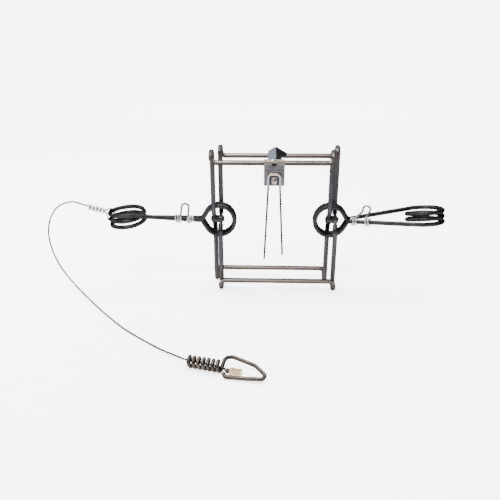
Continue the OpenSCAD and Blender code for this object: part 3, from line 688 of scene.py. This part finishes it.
def add_lights(scene, settings):
    """Light from all round, with three large soft lamps."""
    world = bpy.data.worlds.new("soft_white")
    scene.world = world
    world.use_nodes = True
    back = world.node_tree.nodes["Background"]
    back.inputs[0].default_value = (0.97, 0.985, 1.0, 1)
    back.inputs[1].default_value = settings.sky
    key = settings.key
    for name, place_at, target, size, power, tint in (
        ("key_light", (-0.4, -0.85, 1.5), (0, 0, 0.1), (0.7, 0.5), key, (1.0, 0.98, 0.96)),
        ("top_light", (0.1, 0.35, 1.6), (0, 0, 0.1), (1.5, 0.35), key, (1.0, 0.97, 0.95)),
        ("left_light", (-1.5, 0.25, 0.7), (0, 0, 0.12), (0.3, 1.2), key * 0.8, (0.86, 0.93, 1.0)),
    ):
        lamp = bpy.data.lights.new(name, "AREA")
        lamp.shape = "RECTANGLE"
        lamp.size, lamp.size_y = size
        lamp.energy = power
        lamp.color = tint
        light = bpy.data.objects.new(name, lamp)
        light.location = place_at
        light.rotation_euler = (Vector(target) - Vector(place_at)).to_track_quat("-Z", "Y").to_euler()
        scene.collection.objects.link(light)


# Pieces

class TRAP_OT_stage(bpy.types.Operator):
    """Make the camera, the floor and the lights"""

    bl_idname = "trap.stage"
    bl_label = "Stage"

    def execute(self, context):
        settings = context.scene.trap_stage
        add_camera(context.scene)
        add_floor(settings)
        add_lights(context.scene, settings)
        return {"FINISHED"}


class TRAP_OT_cable(bpy.types.Operator):
    """Lay the cable from its ferrule over the ground to the stop, and its eye round the spring"""

    bl_idname = "trap.cable"
    bl_label = "Cable"

    def execute(self, context):
        make_groups()
        settings = context.scene.trap_cable
        finish = zinc(
            "cable_steel", light=(0.06, 0.06, 0.063, 1), dark=(0.018, 0.018, 0.019, 1), dirtiness=0.6,
            crystal=0.5, rim=0.2)
        radius = settings.diameter / MM / 2
        line = smooth_line(route_to_stop(), CABLE_STEP)
        cable = stranded("anchor_cable_strands", line, radius, settings.strands, settings.lay / MM)
        stand_for(cable, finish, "left_coil", "anchor_cable")
        loop = bent_wire(eye_route(), EYE_RADIUS)
        eye = stranded("cable_eye_strands", loop, radius * EYE_FIT, settings.strands, settings.lay / MM)
        stand_for(eye, finish, "left_coil", "cable_eye")
        return {"FINISHED"}


class TRAP_OT_cable_fittings(bpy.types.Operator):
    """Finish the cable's ferrule, stop and collar"""

    bl_idname = "trap.cable_fittings"
    bl_label = "Cable Fittings"

    def execute(self, context):
        make_groups()
        # Colour of the painted shade in the crimp grooves
        dirt = (0.014, 0.0135, 0.009, 1)

        def grooves(n, place, colour):
            """Painted shade in the crimp grooves."""
            return n.mix(use(n, "Crimps", Place=place)["Mask"], colour, dirt)

        ferrule = zinc(
            "ferrule_alloy", light=(0.55, 0.55, 0.53, 1), dark=(0.28, 0.28, 0.26, 1), dirtiness=0.3,
            crystal=2.0, change=grooves)
        stop = zinc(
            "stop_alloy", light=(0.66, 0.55, 0.34, 1), dark=(0.33, 0.23, 0.12, 1), dirtiness=0.4, crystal=1.4)
        collar = zinc("collar_steel", light=(0.045, 0.042, 0.03, 1), dark=(0.015, 0.014, 0.01, 1), rim=0.3)
        for node, slot_name, width, finish in (
                ("cable_ferrule", "ferrule", 0.25, ferrule), ("cable_stop", "stop", 0.5, stop),
                ("cable_collar", "anchor_steel", 0.3, collar)):
            stand_for(rounded(node, width), finish, "left_coil", node)
        return {"FINISHED"}


class TRAP_OT_jaws(bpy.types.Operator):
    """Finish the two jaws of steel rod, browner on their strike bars"""

    bl_idname = "trap.jaws"
    bl_label = "Jaws"

    def execute(self, context):
        make_groups()
        colours = context.scene.trap_finish
        strike = tuple(colours.strike)
        # Colours of the painted shade and the painted highlight on the strike bars
        painted_shade, painted_highlight = (0.012, 0.0105, 0.01, 1), (0.3, 0.255, 0.22, 1)

        def worn(n, place, colour):
            """Brown strike bars, with a painted highlight band on their upper half and painted shade on their
            undersides and top edges.
            """
            away = n.math("ABSOLUTE", n.math("SUBTRACT", n.parts(place)[2], PIVOT_Z * MM))
            waver = n.both(n.math("SUBTRACT", n.noise(place, 90.0), 0.5), STRIKE_WAVER * MM)
            level = n.math("ADD", away, waver)
            mask = n.both(n.edge(level, STRIKE_COMES), n.edge(level, STRIKE_GOES, 1.0, 0.25))
            colour = n.mix(n.both(mask, 0.85), colour, n.mix(0.35, strike, colour))
            # Painted shade on faces that look sideways, down or straight up, and a painted highlight band on
            # faces that look half up
            up = n.upward()
            sides = n.math("MAXIMUM", n.range(up, -0.6, 0.15, 0.8, 0.0), n.range(up, 0.65, 0.85, 0.0, 0.8))
            shade_mask = n.both(sides, mask)
            band = n.both(n.range(up, 0.1, 0.4, 0.0, 0.65), n.range(up, 0.5, 0.72, 1.0, 0.0))
            highlight_mask = n.both(band, mask)
            return n.mix(highlight_mask, n.mix(shade_mask, colour, painted_shade), painted_highlight)

        finish = rolled_steel(
            "jaw_rod", scale=(0.021, 0.0205, 0.023, 1), bare=tuple(colours.jaw),
            stain=(0.03, 0.019, 0.013, 1), bareness=0.55, staining=0.35, change=worn)
        dress("jaw_front", finish)
        dress("jaw_rear", finish)
        return {"FINISHED"}


class TRAP_OT_pivots(bpy.types.Operator):
    """Finish the rivets and washers on which the jaws turn"""

    bl_idname = "trap.pivots"
    bl_label = "Pivots"

    def execute(self, context):
        make_groups()
        finish = zinc(
            "pivot_steel", light=(0.026, 0.026, 0.025, 1), dark=(0.012, 0.012, 0.011, 1), dirtiness=0.6,
            crystal=1.2, rim=0.2, dulling=0.15)
        for side in ("left", "right"):
            for part in ("pivot_rivet", "pivot_washer"):
                node = f"{part}_{side}"
                stand_for(rounded(node, 0.3), finish, f"{side}_pivot", node)
        return {"FINISHED"}


class TRAP_OT_springs(bpy.types.Operator):
    """Finish the two blued springs"""

    bl_idname = "trap.springs"
    bl_label = "Springs"

    def execute(self, context):
        make_groups()
        finish = rolled_steel(
            "spring_wire", scale=tuple(context.scene.trap_finish.spring), bare=(0.034, 0.034, 0.035, 1),
            stain=(0.017, 0.014, 0.01, 1), bareness=0.25, staining=0.25, scratches=0.3, dust=0.03, rim=0.2)
        for side in ("left", "right"):
            for part in ("coil", "front_arm", "rear_arm"):
                dress(f"spring_{side}_{part}", finish)
        return {"FINISHED"}


class TRAP_OT_trigger(bpy.types.Operator):
    """Finish the trigger: plate, keeper, wire and rivet"""

    bl_idname = "trap.trigger"
    bl_label = "Trigger"

    def execute(self, context):
        make_groups()
        colours = context.scene.trap_finish
        # Colour of the painted shade in the crease and the recess, and of the painted highlights on the arch
        # and the knuckles
        shade = (0.012, 0.011, 0.013, 1)
        lit_blue, crown_highlight, brown = (0.2, 0.205, 0.235, 1), (0.32, 0.255, 0.19, 1), (0.12, 0.097, 0.08, 1)

        def pressed(n, place, colour):
            """Painted highlights on the raised arch, blue on its legs and copper on its crown, painted shade
            in its recess and in the crease, and a brown painted highlight on the knuckles.
            """
            marks = use(n, "Trigger Marks", Place=place)
            colour = n.mix(n.both(marks["Crease"], 0.75), colour, shade)
            colour = n.mix(n.both(marks["Recess"], 0.9), colour, shade)
            height = n.parts(place)[2]
            crown = n.edge(height, CROWN_EDGES)
            colour = n.mix(n.both(marks["Arch"], 0.9), colour, n.mix(crown, lit_blue, crown_highlight))
            knuckle = n.edge(height, KNUCKLE_EDGES)
            return n.mix(n.both(knuckle, 0.7), colour, brown)

        sheet = rolled_steel(
            "trigger_sheet", scale=(0.045, 0.042, 0.048, 1), bare=tuple(colours.sheet),
            stain=(0.05, 0.034, 0.028, 1), bareness=0.6, staining=0.35, dulling=0.06, change=pressed)
        rivet = rolled_steel(
            "trigger_rivet_steel", scale=(0.12, 0.09, 0.085, 1), bare=(0.3, 0.23, 0.21, 1),
            stain=(0.07, 0.045, 0.035, 1), bareness=0.7, staining=0.3, rim=0.4)
        for node, finish, width in (
                ("trigger_plate", sheet, 0.3), ("trigger_keeper", sheet, 0.25),
                ("trigger_rivet", rivet, 0.3)):
            stand_for(rounded(node, width), finish, "trigger", node)
        wire = rolled_steel(
            "trigger_wire_steel", scale=(0.012, 0.012, 0.013, 1), bare=(0.035, 0.033, 0.033, 1),
            stain=(0.022, 0.016, 0.012, 1), bareness=0.5, staining=0.4, rim=0.2)
        dress("trigger_wire", wire)
        return {"FINISHED"}


class TRAP_OT_dog(bpy.types.Operator):
    """Finish the dog"""

    bl_idname = "trap.dog"
    bl_label = "Dog"

    def execute(self, context):
        make_groups()
        bare = tuple(context.scene.trap_finish.dog)
        # Colours of the painted light on the left cheek and of the painted shade on the right one
        lit_blue, shaded_black = (0.15, 0.165, 0.2, 1), (0.004, 0.004, 0.005, 1)

        def lit_and_shaded_cheeks(n, place, colour):
            """The left cheek painted lit, bright blue, and the right one painted in shade, nearly black."""
            right = n.edge(n.parts(place)[0], DOG_RIDGE_EDGES)
            return n.mix(n.both(right, 0.95), n.mix(0.7, colour, lit_blue), shaded_black)

        scale = tuple(c * 0.5 for c in bare[:3]) + (1,)
        finish = rolled_steel(
            "dog_sheet", scale=scale, bare=bare, stain=(0.03, 0.022, 0.017, 1), bareness=0.5,
            staining=0.2, dulling=0.06, change=lit_and_shaded_cheeks)
        stand_for(rounded("dog", 0.35), finish, "dog", "dog")
        return {"FINISHED"}


class TRAP_OT_hooks(bpy.types.Operator):
    """Finish the galvanised safety hooks"""

    bl_idname = "trap.hooks"
    bl_label = "Safety Hooks"

    def execute(self, context):
        make_groups()
        dark = (0.03, 0.03, 0.032, 1)

        def darker_legs(n, place, colour):
            """Darker legs above the bright wraps."""
            leg = n.edge(n.parts(place)[2], HOOK_LEG_EDGES)
            return n.mix(n.both(leg, 0.9), colour, dark)

        finish = zinc(
            "hook_zinc", light=(0.42, 0.44, 0.46, 1), dark=(0.17, 0.18, 0.2, 1), dirtiness=0.2, rim=0.5,
            change=darker_legs)
        dress("safety_hook_left", finish)
        dress("safety_hook_right", finish)
        return {"FINISHED"}


class TRAP_OT_anchor(bpy.types.Operator):
    """Finish the anchor fitting"""

    bl_idname = "trap.anchor"
    bl_label = "Anchor Fitting"

    def execute(self, context):
        make_groups()
        finish = rolled_steel(
            "anchor_wire", scale=(0.03, 0.026, 0.023, 1), bare=tuple(context.scene.trap_finish.anchor),
            stain=(0.03, 0.018, 0.012, 1), bareness=0.5, staining=0.4)
        dress("anchor_loop", finish)
        return {"FINISHED"}


STEPS = (
    TRAP_OT_stage, TRAP_OT_cable, TRAP_OT_cable_fittings, TRAP_OT_jaws, TRAP_OT_pivots, TRAP_OT_springs,
    TRAP_OT_trigger, TRAP_OT_dog, TRAP_OT_hooks, TRAP_OT_anchor,
)


class TRAP_PT_panel(bpy.types.Panel):
    """Lists the trap's steps and settings"""

    bl_idname = "TRAP_PT_panel"
    bl_label = "Body Grip Trap"
    bl_space_type = "VIEW_3D"
    bl_region_type = "UI"
    bl_category = "Trap"

    def draw(self, context):
        scene = context.scene
        for settings in (scene.trap_finish, scene.trap_cable, scene.trap_stage):
            box = self.layout.box()
            for name in settings.__annotations__:
                box.prop(settings, name)
        for step in STEPS:
            self.layout.operator(step.bl_idname)


CLASSES = (TrapFinish, TrapCable, TrapStage) + STEPS + (TRAP_PT_panel,)
SETTINGS = (("trap_finish", TrapFinish), ("trap_cable", TrapCable), ("trap_stage", TrapStage))


def register():
    for cls in CLASSES:
        bpy.utils.register_class(cls)
    for name, cls in SETTINGS:
        setattr(bpy.types.Scene, name, bpy.props.PointerProperty(type=cls))


def unregister():
    for name, cls in SETTINGS:
        delattr(bpy.types.Scene, name)
    for cls in reversed(CLASSES):
        bpy.utils.unregister_class(cls)


def main():
    register()
    bpy.ops.trap.stage()
    bpy.ops.trap.cable()
    bpy.ops.trap.cable_fittings()
    bpy.ops.trap.jaws()
    bpy.ops.trap.pivots()
    bpy.ops.trap.springs()
    bpy.ops.trap.trigger()
    bpy.ops.trap.dog()
    bpy.ops.trap.hooks()
    bpy.ops.trap.anchor()


if __name__ == "__main__":
    main()
